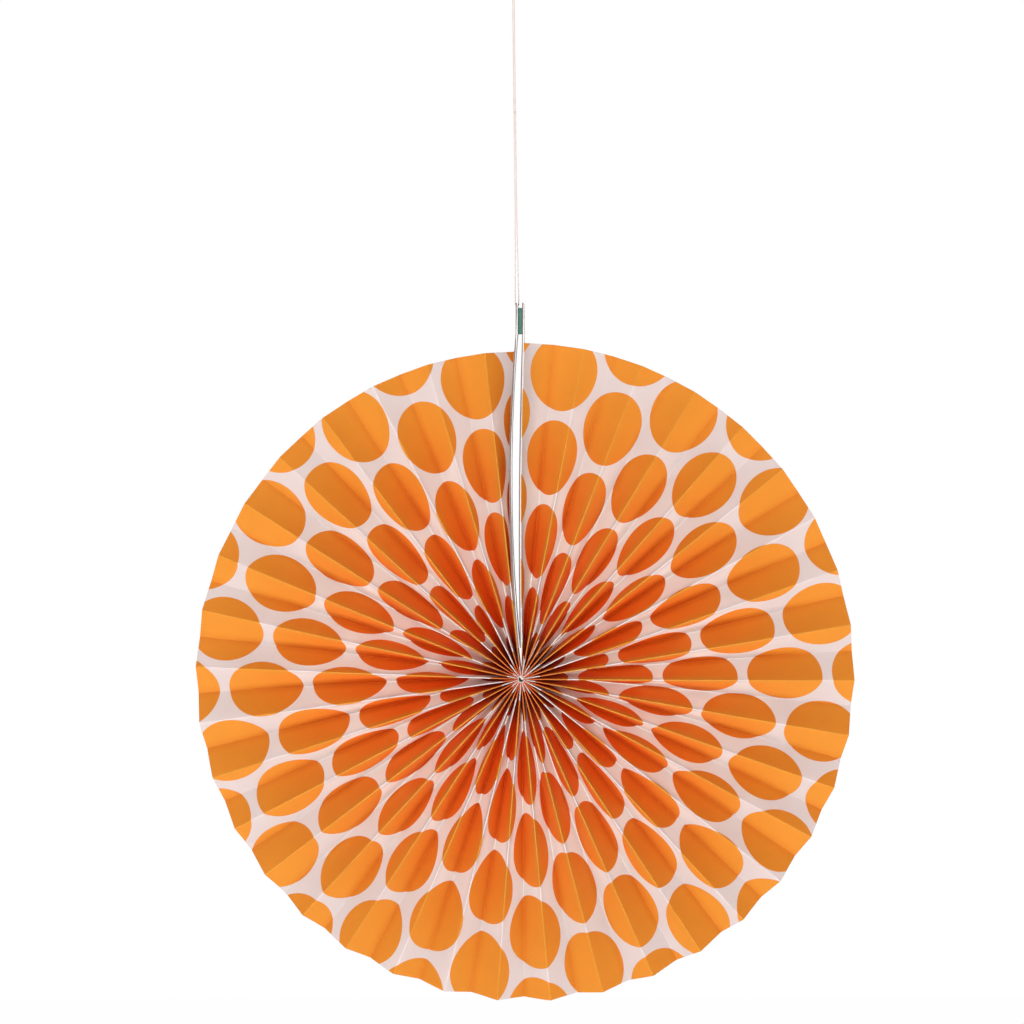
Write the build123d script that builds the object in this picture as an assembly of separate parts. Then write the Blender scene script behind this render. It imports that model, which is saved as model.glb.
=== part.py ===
from build123d import *
import os
from math import asin, atan2, ceil, cos, degrees, hypot, pi, radians, sin, sqrt, tan

# Paper fan rosette: a strip of paper in accordion folds, gathered at the hub and opened into a full
# disc, with a card strip glued on each end, a foam pad that joins the two cards, a tie at the hub
# and a loop of thread to hang it by. Millimetres and degrees.
# The disc is drawn round its hub with the seam upwards (+Z) and the front towards -Y, and is then
# hung so that the hub is straight below the hanging point, which is the origin.

# Pleated paper
rim_radius = 200.0
rim_runout = 4.8
panel_width = 19.0
paper_thickness = 0.16
hub_radius = 2.2
flattest_fold = 5.0
spacing_swing = 2.8
spacing_phase = 25.5
seam_lift_fade = 0.8
sections_per_panel = 9
closest_panels = 1.1 * paper_thickness

# End cards
card_thickness = 1.2
card_foot = 19.0
card_above_pad = 2.8
seam_offset = -0.8
left_bow = 4.3
right_bow = 1.25

# Joining pad
pad_thickness = 2.7
pad_height = 15.5
pad_depth = 15.0
pad_above_rim = 5.5
pad_setback = 1.5

# Tie at the hub
tie_diameter = 0.7
tie_sides = 8
tie_clearance = 0.05
tie_knot_diameter = 1.6

# Hanging thread
thread_diameter = 0.7
hung_above_cards = 198.8
hole_diameter = 1.1
hole_below_card_top = 1.5
strand_half_gap = 0.42
strand_to_card = 0.12
strands_meet_above_hole = 50.0
knot_above_meeting = 65.0
thread_knot_diameter = 2.2
loop_half_width = 2.2
loop_opens = -14.0
loop_widest = -4.5

LEFT = -1
RIGHT = 1
bows = {LEFT: left_bow, RIGHT: right_bow}
half_depth = panel_width / 2
pad_foot = rim_radius + rim_runout / 2 + pad_above_rim
card_top = pad_foot + pad_height + card_above_pad
hanging_drop = card_top + hung_above_cards


def inner_face(side, height):
    """Where a card's inner face stands left or right of the hub, at a height above it."""
    climb = min((height - card_foot) / (pad_foot - card_foot), 1.0)
    apart = side * pad_thickness / 2 * climb
    return seam_offset + apart - 4 * bows[side] * climb * (1 - climb)


def outer_face(side, height):
    return inner_face(side, height) + side * card_thickness


# The number of free panels: the fewest, and an odd number, at which the widest pitch at the rim still
# leaves a fold that is flattest_fold deep
swing = radians(spacing_swing)
phase = radians(spacing_phase)
widest_reach = rim_radius + rim_runout / 2
widest_chord = sqrt(panel_width**2 - flattest_fold**2)
widest_pitch = 2 * asin(widest_chord / (2 * widest_reach))
panels = 2 * ceil(((2 * pi + 2 * pi * swing) / widest_pitch - 1) / 2) + 1


def reach(fold):
    """Hub to rim along a fold: the strip runs out from the left card to the right one."""
    return rim_radius + rim_runout * (0.5 - fold / panels)


def radius(fold, section):
    """Sections of a panel: the hub's edge first, then equal steps from the cards' feet to the rim."""
    if section == 0:
        return hub_radius
    step = (section - 1) / (sections_per_panel - 1)
    return card_foot + (reach(fold) - card_foot) * step


def edge_fold(side, section):
    """Left or right place of the fold that runs down the outer face of a card."""
    if section == 0:
        return side * closest_panels / 2
    height = radius(0 if side == RIGHT else panels, section)
    return outer_face(side, height) + side * paper_thickness / 2


first_angle = edge_fold(RIGHT, sections_per_panel) / reach(0)
last_angle = 2 * pi + edge_fold(LEFT, sections_per_panel) / reach(panels)


def fold_angle(fold):
    """Clockwise from the seam, as the front is seen: even, but wider beside the seam than below."""
    share = fold / panels
    wave = sin(2 * pi * share + phase) - sin(phase)
    return first_angle + (last_angle - first_angle) * share + swing * wave


def fold_depth(fold, distance):
    """Front to back depth of a fold: panels keep their width, so each fold is an arc of an ellipse."""
    pitch = (fold_angle(fold + 1) - fold_angle(fold - 1)) / 2
    chord = 2 * distance * sin(pitch / 2)
    return sqrt(panel_width**2 - chord**2)


def fold_point(fold, section):
    """A point of a fold's middle line and the direction from the hub there."""
    distance = radius(fold, section)
    if fold == 0:
        return Vector(edge_fold(RIGHT, section), -half_depth, distance), Vector(0, 0, 1)
    if fold == panels:
        return Vector(edge_fold(LEFT, section), half_depth, distance), Vector(0, 0, 1)
    # Beside the cards the folds are pushed apart until each has room for its sheet
    from_right = edge_fold(RIGHT, section) + fold * closest_panels
    from_left = (panels - fold) * closest_panels - edge_fold(LEFT, section)
    angle = max(fold_angle(fold), from_right / distance)
    angle = min(angle, 2 * pi - from_left / distance)
    depth = fold_depth(fold, distance)
    front = -1 if fold % 2 == 0 else 1
    lift = (panel_width - depth) / 2 * seam_lift_fade**fold
    outwards = Vector(sin(angle), 0, cos(angle))
    return outwards * distance + Vector(0, front * depth / 2 - lift, 0), outwards


def strip_line(section):
    """The sheet's middle line at one section, from the back of the right card to the left card's front."""
    line = [fold_point(fold, section) for fold in range(panels + 1)]
    right, upwards = line[0]
    left = line[-1][0]
    back = (Vector(right.X, half_depth, right.Z), upwards)
    front = (Vector(left.X, -half_depth, left.Z), upwards)
    return [back, *line, front]


def faces_of_line(line):
    """Both faces of the sheet at one section: for each fold and face, where panels end and begin."""
    half = paper_thickness / 2
    both = []
    for index, (point, outwards) in enumerate(line):
        before = (point - line[index - 1][0]).normalized() if index else None
        after = (line[index + 1][0] - point).normalized() if index < len(line) - 1 else None
        normals = [run.cross(outwards).normalized() for run in (before, after) if run]
        corners = {}
        for face in (1, -1):
            ends = [point + normal * (face * half) for normal in normals]
            if len(normals) == 2 and (normals[0] * face).dot(before - after) < 0:
                mitre = (normals[0] + normals[1]) / (1 + normals[0].dot(normals[1]))
                ends = [point + mitre * (face * half)] * 2
            corners[face] = (ends[0], ends[-1])
        both.append(corners)
    return both


def two_triangles(a, b, c, d):
    return [Face(Wire.make_polygon(corners)) for corners in ((a, b, c), (a, c, d))]


def pleated_paper():
    """One closed sheet: flat facets between the folds, with a narrow flat along each fold's outside."""
    rings = [faces_of_line(strip_line(section)) for section in range(sections_per_panel + 1)]
    facets = []
    for inner, outer in zip(rings, rings[1:]):
        for face in (1, -1):
            for index in range(len(inner)):
                low, high = inner[index][face], outer[index][face]
                if (low[0] - low[1]).length > 0:
                    facets += two_triangles(low[0], low[1], high[1], high[0])
                if index < len(inner) - 1:
                    low_end, high_end = inner[index + 1][face][0], outer[index + 1][face][0]
                    facets += two_triangles(low[1], low_end, high_end, high[1])
        for index in (0, -1):
            low, high = inner[index], outer[index]
            facets += two_triangles(low[1][0], low[-1][0], high[-1][0], high[1][0])
    for ring in (rings[0], rings[-1]):
        for here, there in zip(ring, ring[1:]):
            facets += two_triangles(here[1][1], there[1][0], there[-1][0], here[-1][1])
        for corners in ring[1:-1]:
            outside = 1 if (corners[1][0] - corners[1][1]).length > 0 else -1
            start, end = corners[outside]
            facets.append(Face(Wire.make_polygon((start, end, corners[-outside][0]))))
    sheet = Solid(Shell(facets))
    return sheet if sheet.volume > 0 else Solid(Shell([-facet for facet in sheet.faces()]))


def end_card(side):
    """A bowed strip of card between the seam and the end of the paper, seen edge-on from the front."""
    fold = 0 if side == RIGHT else panels
    heights = [radius(fold, section) for section in range(1, sections_per_panel + 1)]
    heights += [pad_foot, card_top]
    inside = [(inner_face(side, height), height) for height in heights]
    outside = [(outer_face(side, height), height) for height in reversed(heights)]
    with BuildPart() as card:
        with BuildSketch(Plane.XZ):
            with BuildLine():
                Polyline(*inside, *outside, close=True)
            make_face()
        extrude(amount=half_depth, both=True)
    return card.part


hole_height = card_top - hole_below_card_top
hole_middle = inner_face(LEFT, hole_height) - card_thickness / 2


def left_end_card():
    """The left card also has the small hole that the hanging thread goes through."""
    place = Pos(hole_middle, 0, hole_height) * Rot(0, 90, 0)
    return end_card(LEFT) - place * Cylinder(hole_diameter / 2, 2 * card_thickness)


def joining_pad():
    middle = Pos(seam_offset, pad_setback / 2, pad_foot + pad_height / 2)
    return middle * Box(pad_thickness, pad_depth, pad_height)


def hub_tie():
    """A drawn ring of thread inside the gathered edges, with its knot at the front."""
    ring_radius = hub_radius - tie_clearance - tie_diameter / 2
    knot_radius = tie_knot_diameter / 2
    out = (hub_radius - tie_clearance - knot_radius) * sin(radians(45))
    with BuildPart() as tie:
        with BuildSketch(Plane.XY):
            with Locations((ring_radius, -half_depth)):
                RegularPolygon(tie_diameter / 2, tie_sides)
        revolve(axis=Axis.Y)
        with Locations((out, -half_depth - tie_diameter / 2, out)):
            Sphere(knot_radius)
    return tie.part


# Hung by the hole in the left card, the disc turns until its hub is straight below the thread
seam_lean = degrees(atan2(-hole_middle, hole_height))
hung = Pos(0, 0, -hanging_drop) * Rot(0, seam_lean, 0)
hole_drop = hypot(hole_middle, hole_height) - hanging_drop

# The thread's loop, clockwise from below the hole: up the left side, over the hanging point and down
strand_beside_card = card_thickness / 2 + strand_to_card + thread_diameter / 2
thread_bottom = hole_drop - (hole_diameter - thread_diameter) / 4
strands_meet = hole_drop + strands_meet_above_hole
thread_points = [
    (-strand_beside_card, thread_bottom),
    (-strand_half_gap, strands_meet),
    (-strand_half_gap, loop_opens),
    (-loop_half_width, loop_widest),
    (-loop_half_width, thread_diameter / 2),
    (loop_half_width, thread_diameter / 2),
    (loop_half_width, loop_widest),
    (strand_half_gap, loop_opens),
    (strand_half_gap, strands_meet),
    (strand_beside_card, thread_bottom),
]


def corner_radii(points):
    """The largest arc that each corner's two runs allow, on a closed route."""
    radii = []
    for index, point in enumerate(points):
        arriving = Vector(*point) - Vector(*points[index - 1])
        leaving = Vector(*points[(index + 1) % len(points)]) - Vector(*point)
        half_turn = radians(arriving.get_angle(leaving)) / 2
        radii.append(0.45 * min(arriving.length, leaving.length) / tan(half_turn))
    return radii


def hanging_thread():
    """One closed loop of thread through the left card's hole: its tube follows the route's arcs."""
    radii = corner_radii(thread_points)
    with BuildPart() as thread:
        with BuildLine(Plane.XZ):
            path = FilletPolyline(*thread_points, radius=radii, close=True)
        with BuildSketch(Plane(path @ 0, z_dir=path % 0)):
            Circle(thread_diameter / 2)
        sweep(path=path)
    section = pi * thread_diameter**2 / 4
    print("thread radii", [round(radius_, 2) for radius_ in radii])
    print("thread length", round(path.length, 2), "volume", thread.part.volume, section * path.length)
    return thread.part


def thread_knot():
    """The small knot that holds the loop's two strands together, wrapped close round each of them."""
    ball = Rot(90, 0, 0) * Sphere(thread_knot_diameter / 2)
    strand = Cylinder(thread_diameter / 2, 2 * thread_knot_diameter)
    strands = [Pos(side * strand_half_gap, 0, 0) * strand for side in (LEFT, RIGHT)]
    return Pos(0, 0, strands_meet + knot_above_meeting) * (ball - strands)


disc = {
    "pleated_paper": pleated_paper(),
    "right_end_card": end_card(RIGHT),
    "left_end_card": left_end_card(),
    "joining_pad": joining_pad(),
    "hub_tie": hub_tie(),
}
parts = {name: hung * shape for name, shape in disc.items()}
parts["hanging_thread"] = hanging_thread()
parts["thread_knot"] = thread_knot()

os.makedirs("parts", exist_ok=True)
for name, shape in parts.items():
    export_step(shape, f"parts/{name}.step")
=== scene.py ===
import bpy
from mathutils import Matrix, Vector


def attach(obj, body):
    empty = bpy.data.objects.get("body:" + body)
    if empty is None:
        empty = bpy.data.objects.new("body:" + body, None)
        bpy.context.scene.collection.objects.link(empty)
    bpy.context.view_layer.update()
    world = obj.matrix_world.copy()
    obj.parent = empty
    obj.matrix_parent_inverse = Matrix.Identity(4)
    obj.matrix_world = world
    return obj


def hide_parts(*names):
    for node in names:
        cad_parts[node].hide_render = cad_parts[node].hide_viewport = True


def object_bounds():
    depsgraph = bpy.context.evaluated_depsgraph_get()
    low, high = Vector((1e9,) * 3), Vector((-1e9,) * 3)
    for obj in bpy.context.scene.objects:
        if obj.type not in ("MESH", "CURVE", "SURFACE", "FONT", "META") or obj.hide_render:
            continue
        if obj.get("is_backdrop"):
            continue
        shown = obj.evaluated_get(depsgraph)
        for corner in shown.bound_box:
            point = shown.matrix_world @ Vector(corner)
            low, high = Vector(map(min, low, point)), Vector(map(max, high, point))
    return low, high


bl_info = {
    "name": "Paper Fan Rosette",
    "version": (1, 0, 0),
    "blender": (4, 5, 0),
    "location": "View3D > Sidebar > Paper Fan",
    "description": "Dresses a hanging paper fan: pleated dotted paper, end cards, pad, tie and thread",
    "category": "Object",
}

from math import atan2, cos, hypot, pi, radians, sin, tau

import bmesh
import bpy
from bpy.props import FloatProperty, FloatVectorProperty, IntProperty, PointerProperty
from mathutils import Matrix, Vector, noise

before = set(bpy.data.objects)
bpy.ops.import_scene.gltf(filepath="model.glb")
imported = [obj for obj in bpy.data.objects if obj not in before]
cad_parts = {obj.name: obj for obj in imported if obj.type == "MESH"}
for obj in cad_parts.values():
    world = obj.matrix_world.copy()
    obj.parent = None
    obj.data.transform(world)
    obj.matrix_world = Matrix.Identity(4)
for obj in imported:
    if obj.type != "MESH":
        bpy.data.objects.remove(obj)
CAD_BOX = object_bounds()

MM = 0.001
LEFT, RIGHT = -1, 1


def length_mm(name, description, size, most=500.0):
    """A size in metres, written here in millimetres."""
    return FloatProperty(
        name=name, description=description, default=size * MM, min=0.0, max=most * MM,
        precision=5, subtype="DISTANCE", unit="LENGTH",
    )


def place_mm(name, description, size):
    return FloatProperty(
        name=name, description=description, default=size * MM, precision=5,
        subtype="DISTANCE", unit="LENGTH",
    )


def ink(name, description, red, green, blue):
    """A colour given as it looks on screen, kept as light values."""
    def light(value):
        share = value / 255
        return share / 12.92 if share <= 0.04045 else ((share + 0.055) / 1.055) ** 2.4
    return FloatVectorProperty(
        name=name, description=description, subtype="COLOR", size=3, min=0.0, max=1.0,
        default=(light(red), light(green), light(blue)),
    )


class FanPaperSizes(bpy.types.PropertyGroup):
    panels: IntProperty(
        name="Free panels", description="Panels between the two glued ends", default=73, min=9)
    rim_radius: length_mm("Rim radius", "Hub to rim, half way round", 200.0)
    rim_runout: length_mm("Rim run-out", "How much further out the rim is beside the right card", 4.8)
    panel_width: length_mm("Panel width", "Fold to fold along the strip", 19.0)
    hub_radius: length_mm("Hub radius", "Where the gathered edges end", 2.2)
    thickness: length_mm("Paper thickness", "Thickness of the sheet", 0.16)
    closest: length_mm(
        "Closest folds", "Room that each fold takes where they are pressed together", 0.176)
    rounding: length_mm("Fold rounding", "Radius of the paper at a fold", 0.3)
    bulge: length_mm("Panel bulge", "How far a panel may bulge out of flat", 0.35)
    swing: FloatProperty(
        name="Spacing swing", description="How much wider the pleats are beside the seam than below",
        default=radians(2.8), subtype="ANGLE", unit="ROTATION")
    phase: FloatProperty(
        name="Spacing phase", description="Turns the widest pleats round the disc",
        default=radians(25.5), subtype="ANGLE", unit="ROTATION")
    unevenness: FloatProperty(
        name="Unevenness", description="How far a fold strays from its even place",
        default=radians(0.0), subtype="ANGLE", unit="ROTATION")
    lift_fade: FloatProperty(
        name="Lift fade", description="Share of the seam's forward lift left at each next fold",
        default=0.8, min=0.0, max=1.0, subtype="FACTOR")
    seed: IntProperty(name="Seed", description="Which unevenness the folds have", default=4)
    light_through: FloatProperty(
        name="Light through", default=0.75, min=0.0, max=1.0, subtype="FACTOR",
        description="Share of the light that goes on through bare paper")
    light_through_ink: FloatProperty(
        name="Light through ink", default=0.32, min=0.0, max=1.0, subtype="FACTOR",
        description="Share of the light that goes on through printed paper")


class FanPrintColours(bpy.types.PropertyGroup):
    dot_diameter: length_mm("Dot diameter", "Width of a printed dot", 45.3)
    row_spacing: length_mm("Row spacing", "Dot to dot out along a column", 51.2)
    column_spacing: length_mm("Column spacing", "Column to column along the strip", 44.34)
    first_column: length_mm("First column", "First fold to the first column", 27.4)
    first_row: length_mm("First row", "Rim to the first row of the first column", 16.2)
    orange: ink("Orange", "Printed dots", 209, 144, 50)
    # Painted shade: the dots darker and redder down in the folds near the hub
    fold_shade_orange: ink("Deep orange", "Printed dots down in the folds near the hub", 238, 76, 14)
    # Painted shadow: the dots nearly black-red deep in the folds where they gather at the hub
    hub_shadow_orange: ink("Gathered orange", "Printed dots where the folds are gathered", 160, 10, 6)
    # Painted shade: duller, darker dots on the crests near the hub
    hub_shade_orange: ink("Creased orange", "Printed dots on the crests at the hub", 192, 80, 34)
    # Partly ink rubbed off the crests and partly a painted highlight where the crests catch the light
    crest_wear_and_highlight_orange: ink("Worn orange", "Printed dots on the crests of the folds", 232, 150, 66)
    # Painted shade: darker, redder dots along the valleys of the folds
    valley_shade_orange: ink("Valley orange", "Printed dots along the valleys of the folds", 190, 62, 12)
    glowing_orange: ink("Glowing orange", "Light that comes through the printed dots", 246, 114, 18)
    ground: ink("Ground", "Pale ground between the dots", 224, 211, 211)
    # Painted light: the ground lighter and warmer down in the folds near the hub
    fold_light_ground: ink("Deep ground", "Pale ground down in the folds near the hub", 255, 243, 237)
    # Partly paper rubbed on the crests and partly a painted highlight where the crests catch the light
    crest_wear_and_highlight_ground: ink("Worn ground", "Pale ground on the crests of the folds", 248, 242, 242)
    # Painted bounce light and shade: the ground tinted peach deep in the folds at the hub
    hub_bounce_light_ground: ink("Gathered ground", "Pale ground where the folds are gathered", 242, 205, 196)
    back: ink("Back", "Unprinted back of the paper", 240, 236, 230)


class FanSeamSizes(bpy.types.PropertyGroup):
    card_thickness: length_mm("Card thickness", "Thickness of an end card", 1.2)
    card_foot: length_mm("Card foot", "Hub to the cards' lower ends", 19.0)
    seam_offset: place_mm("Seam offset", "Middle of the seam right of the hub", -0.8)
    left_bow: length_mm("Left bow", "How far the left card bends to the left", 4.3)
    right_bow: length_mm("Right bow", "How far the right card bends to the left", 1.25)
    pad_thickness: length_mm("Pad thickness", "Card to card through the pad", 2.7)
    pad_foot: length_mm("Pad foot", "Hub to the pad's lower end", 207.9)
    hole_height: length_mm("Hole height", "Hub to the thread's hole", 224.7)
    liner: ink("Card liner", "White faces of the cards", 238, 234, 230)
    greyboard: ink("Card core", "Grey board of the cards", 148, 130, 126)
    foam: ink("Foam", "Pad between the cards", 90, 139, 129)


class FanThreadSizes(bpy.types.PropertyGroup):
    diameter: length_mm("Thread diameter", "Thickness of the hanging thread", 0.7)
    drop: length_mm("Drop", "Hanging point to hub", 425.0, 2000.0)
    ply_turn: length_mm("Ply turn", "Length of thread in one turn of its two plies", 2.4)
    tie_ring: length_mm("Tie ring", "Middle radius of the tie at the hub", 1.8)
    colour: ink("Thread colour", "Spun thread", 228, 207, 197)


class FanStageSizes(bpy.types.PropertyGroup):
    floor_drop: length_mm("Floor drop", "Hanging point to floor", 2600.0, 5000.0)
    front_light: FloatProperty(name="Front light", description="Power of the large front light",
                               default=40.0, min=0.0, unit="POWER")
    side_light: FloatProperty(name="Side lights", description="Power of each of the two side lights",
                              default=6.0, min=0.0, unit="POWER")
    low_light: FloatProperty(name="Low light", description="Power of the large light near the floor",
                             default=122.0, min=0.0, unit="POWER")
    back_light: FloatProperty(name="Back light", description="Power of the wide light behind the fan",
                              default=68.0, min=0.0, unit="POWER")
    room_light: FloatProperty(name="Room light", description="Strength of the light from all round",
                              default=0.12, min=0.0)


class PaperFanSettings(bpy.types.PropertyGroup):
    paper: PointerProperty(type=FanPaperSizes)
    prints: PointerProperty(type=FanPrintColours)
    seam: PointerProperty(type=FanSeamSizes)
    thread: PointerProperty(type=FanThreadSizes)
    stage: PointerProperty(type=FanStageSizes)


def fan():
    return bpy.context.scene.paper_fan


class Sum:
    """A number in a node tree, so that a rule can be written as plain sums."""

    def __init__(self, tree, socket):
        self.tree, self.socket = tree, socket

    def node(self, operation, *others):
        node = self.tree.nodes.new("ShaderNodeMath")
        node.operation = operation
        for slot, value in zip(node.inputs, others):
            plug(self.tree, value, slot)
        return Sum(self.tree, node.outputs[0])

    def __add__(self, other):
        return self.node("ADD", self, other)

    def __sub__(self, other):
        return self.node("SUBTRACT", self, other)

    def __rsub__(self, other):
        return self.node("SUBTRACT", other, self)

    def __mul__(self, other):
        return self.node("MULTIPLY", self, other)

    def __truediv__(self, other):
        return self.node("DIVIDE", self, other)

    def __pow__(self, other):
        return self.node("POWER", self, other)

    def of(self, operation, *others):
        return self.node(operation, self, *others)

    def within(self, low, high):
        return self.of("MAXIMUM", low).of("MINIMUM", high)

    def ramp(self, start, end):
        """Climbs evenly from 0 where the number is at start to 1 where it is at end."""
        return ((self - start) / (end - start)).within(0.0, 1.0)

    def towards(self, other, share):
        return self + (other - self) * share


def plug(tree, value, slot):
    """Wires a sum or a socket into a slot, or sets the slot to a plain value."""
    if isinstance(value, Sum):
        tree.links.new(value.socket, slot)
    elif isinstance(value, bpy.types.NodeSocket):
        tree.links.new(value, slot)
    else:
        slot.default_value = value


def add_node(tree, kind, settings=None, **values):
    """A node of that kind with its settings, and its inputs filled by name, or by number as _1."""
    node = tree.nodes.new(kind)
    for name, value in (settings or {}).items():
        setattr(node, name, value)
    for name, value in values.items():
        key = int(name[1:]) if name[1:].isdigit() else name.replace("_", " ")
        plug(tree, value, node.inputs[key])
    return node


def joined_vector(tree, x, y, z):
    return add_node(tree, "ShaderNodeCombineXYZ", X=x, Y=y, Z=z).outputs[0]


def vector_sum(tree, operation, *values):
    node = tree.nodes.new("ShaderNodeVectorMath")
    node.operation = operation
    if operation == "SCALE":
        plug(tree, values[1], node.inputs["Scale"])
        values = values[:1]
    slots = [slot for slot in node.inputs if slot.type == "VECTOR"]
    for slot, value in zip(slots, values):
        plug(tree, value, slot)
    return node.outputs["Vector"]


# The fan is worked out round its hub with the seam upwards, and then hung from the thread's hole


def card_inner_face(seam, side, height):
    """How far right of the hub a card's inner face stands at a height above the hub."""
    climb = min(max((height - seam.card_foot) / (seam.pad_foot - seam.card_foot), 0.0), 1.0)
    bow = seam.right_bow if side == RIGHT else seam.left_bow
    return seam.seam_offset + side * seam.pad_thickness / 2 * climb - 4 * bow * climb * (1 - climb)


def hung():
    """Turns the fan until its hub is straight below the hole, and drops it by the thread's length."""
    seam, thread = fan().seam, fan().thread
    hole = card_inner_face(seam, LEFT, seam.hole_height) - seam.card_thickness / 2
    lean = atan2(-hole, seam.hole_height)
    return Matrix.Translation((0, 0, -thread.drop)) @ Matrix.Rotation(lean, 4, "Y"), lean, hole


def own_mesh(name, mesh, node, material=None):
    """A finished piece at the origin that rides on the fan and stands for its CAD node."""
    piece = bpy.data.objects.new(name, mesh)
    bpy.context.scene.collection.objects.link(piece)
    if material:
        mesh.materials.append(material)
    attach(piece, "root")
    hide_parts(node)
    return piece


# Materials


def new_material(name, roughness, specular):
    material = bpy.data.materials.new(name)
    material.use_nodes = True
    tree = material.node_tree
    shader = tree.nodes["Principled BSDF"]
    shader.inputs["Roughness"].default_value = roughness
    shader.inputs["Specular IOR Level"].default_value = specular
    return material, tree, shader


def darker(colour, share):
    return tuple(value * share for value in colour)


def colour_mix(tree, share, first, second):
    node = tree.nodes.new("ShaderNodeMix")
    node.data_type = "RGBA"
    slots = node.inputs[0], node.inputs[6], node.inputs[7]
    for slot, value in zip(slots, (share, first, second)):
        if isinstance(value, (Sum, bpy.types.NodeSocket, float, int)):
            plug(tree, value, slot)
        else:
            slot.default_value = (*value, 1.0)
    return node.outputs[2]


def attribute(tree, name):
    return add_node(tree, "ShaderNodeAttribute", {"attribute_name": name})


def object_place(tree):
    return add_node(tree, "ShaderNodeTexCoord").outputs["Object"]


def grain(tree, place, scale, detail):
    noises = add_node(tree, "ShaderNodeTexNoise", Vector=place, Scale=scale, Detail=detail)
    return Sum(tree, noises.outputs[0])


def bump(tree, shader, height, distance, strength):
    node = add_node(tree, "ShaderNodeBump", Height=height, Distance=distance, Strength=strength)
    tree.links.new(node.outputs[0], shader.inputs["Normal"])


def two_lengths(tree, name):
    """The place that the strip's mesh keeps under a name, and its first two lengths."""
    place = attribute(tree, name).outputs["Vector"]
    parts = add_node(tree, "ShaderNodeSeparateXYZ", Vector=place)
    return place, Sum(tree, parts.outputs[0]), Sum(tree, parts.outputs[1])


DOT_EDGE = 0.25 * MM


def dot_share(prints, along, inward):
    """How much of a dot covers a place on the strip: in columns, every other one half a row on."""
    column = (along - prints.first_column) / prints.column_spacing
    nearest = None
    for step in (0, 1):
        number = column.of("FLOOR") + step
        half_rows = number.of("FLOORED_MODULO", 2.0) * 0.5
        row = (inward - prints.first_row) / prints.row_spacing + half_rows
        sideways = (column - number) * prints.column_spacing
        outwards = (row - row.of("ROUND")) * prints.row_spacing
        away = (sideways * sideways + outwards * outwards) ** 0.5
        nearest = away if nearest is None else nearest.of("MINIMUM", away)
    return ((prints.dot_diameter / 2 - nearest) / DOT_EDGE + 0.5).within(0.0, 1.0)


def paper_base(name):
    """Uncoated paper with its fibres and clouds, and where on the strip each point is."""
    material, tree, shader = new_material(name, roughness=0.72, specular=0.2)
    place, along, inward = two_lengths(tree, "strip")
    fibres = grain(tree, place, scale=900.0, detail=4.0)
    clouds = grain(tree, place, scale=60.0, detail=3.0)
    bump(tree, shader, fibres, distance=0.02 * MM, strength=0.35)
    return material, tree, shader, fibres, clouds, along, inward


def lit_through(tree, shader, colour, glowing, passed):
    """Thin paper: its own colour in the light in front, and a share of the light from behind."""
    tree.links.new(colour, shader.inputs["Base Color"])
    through = add_node(tree, "ShaderNodeBsdfTranslucent", Color=glowing)
    thin = add_node(
        tree, "ShaderNodeMixShader", _0=passed, _1=shader.outputs[0], _2=through.outputs[0])
    tree.links.new(thin.outputs[0], tree.nodes["Material Output"].inputs["Surface"])


# From the hub: where each painted shade and painted light in the paper's colour, the crest lines and the
# light through the ink start, and where they are complete
FOLD_SHADE_REACH = 180 * MM, 30 * MM
FOLD_LIGHT_REACH = 170 * MM, 70 * MM
WEAR_AND_HIGHLIGHT_REACH = 160 * MM, 100 * MM
HUB_SHADE_REACH = 32 * MM, 8 * MM
LIT_THROUGH = 6 * MM, 40 * MM

# The same, from a crest along the strip
FOLD_SHADE_DEPTH = 0.0, 6 * MM
FOLD_LIGHT_DEPTH = 0.0, 4 * MM
DEEP_AT_HUB = 0.0, 1.5 * MM
CREST_LINE = 0.5 * MM, 0.0
VALLEY_LINE = 13.5 * MM, 19 * MM
THICK_CREST = 0.6 * MM

# Where a card's liner starts, as a share of the card's thickness
LINER = 0.6, 0.7


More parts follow.
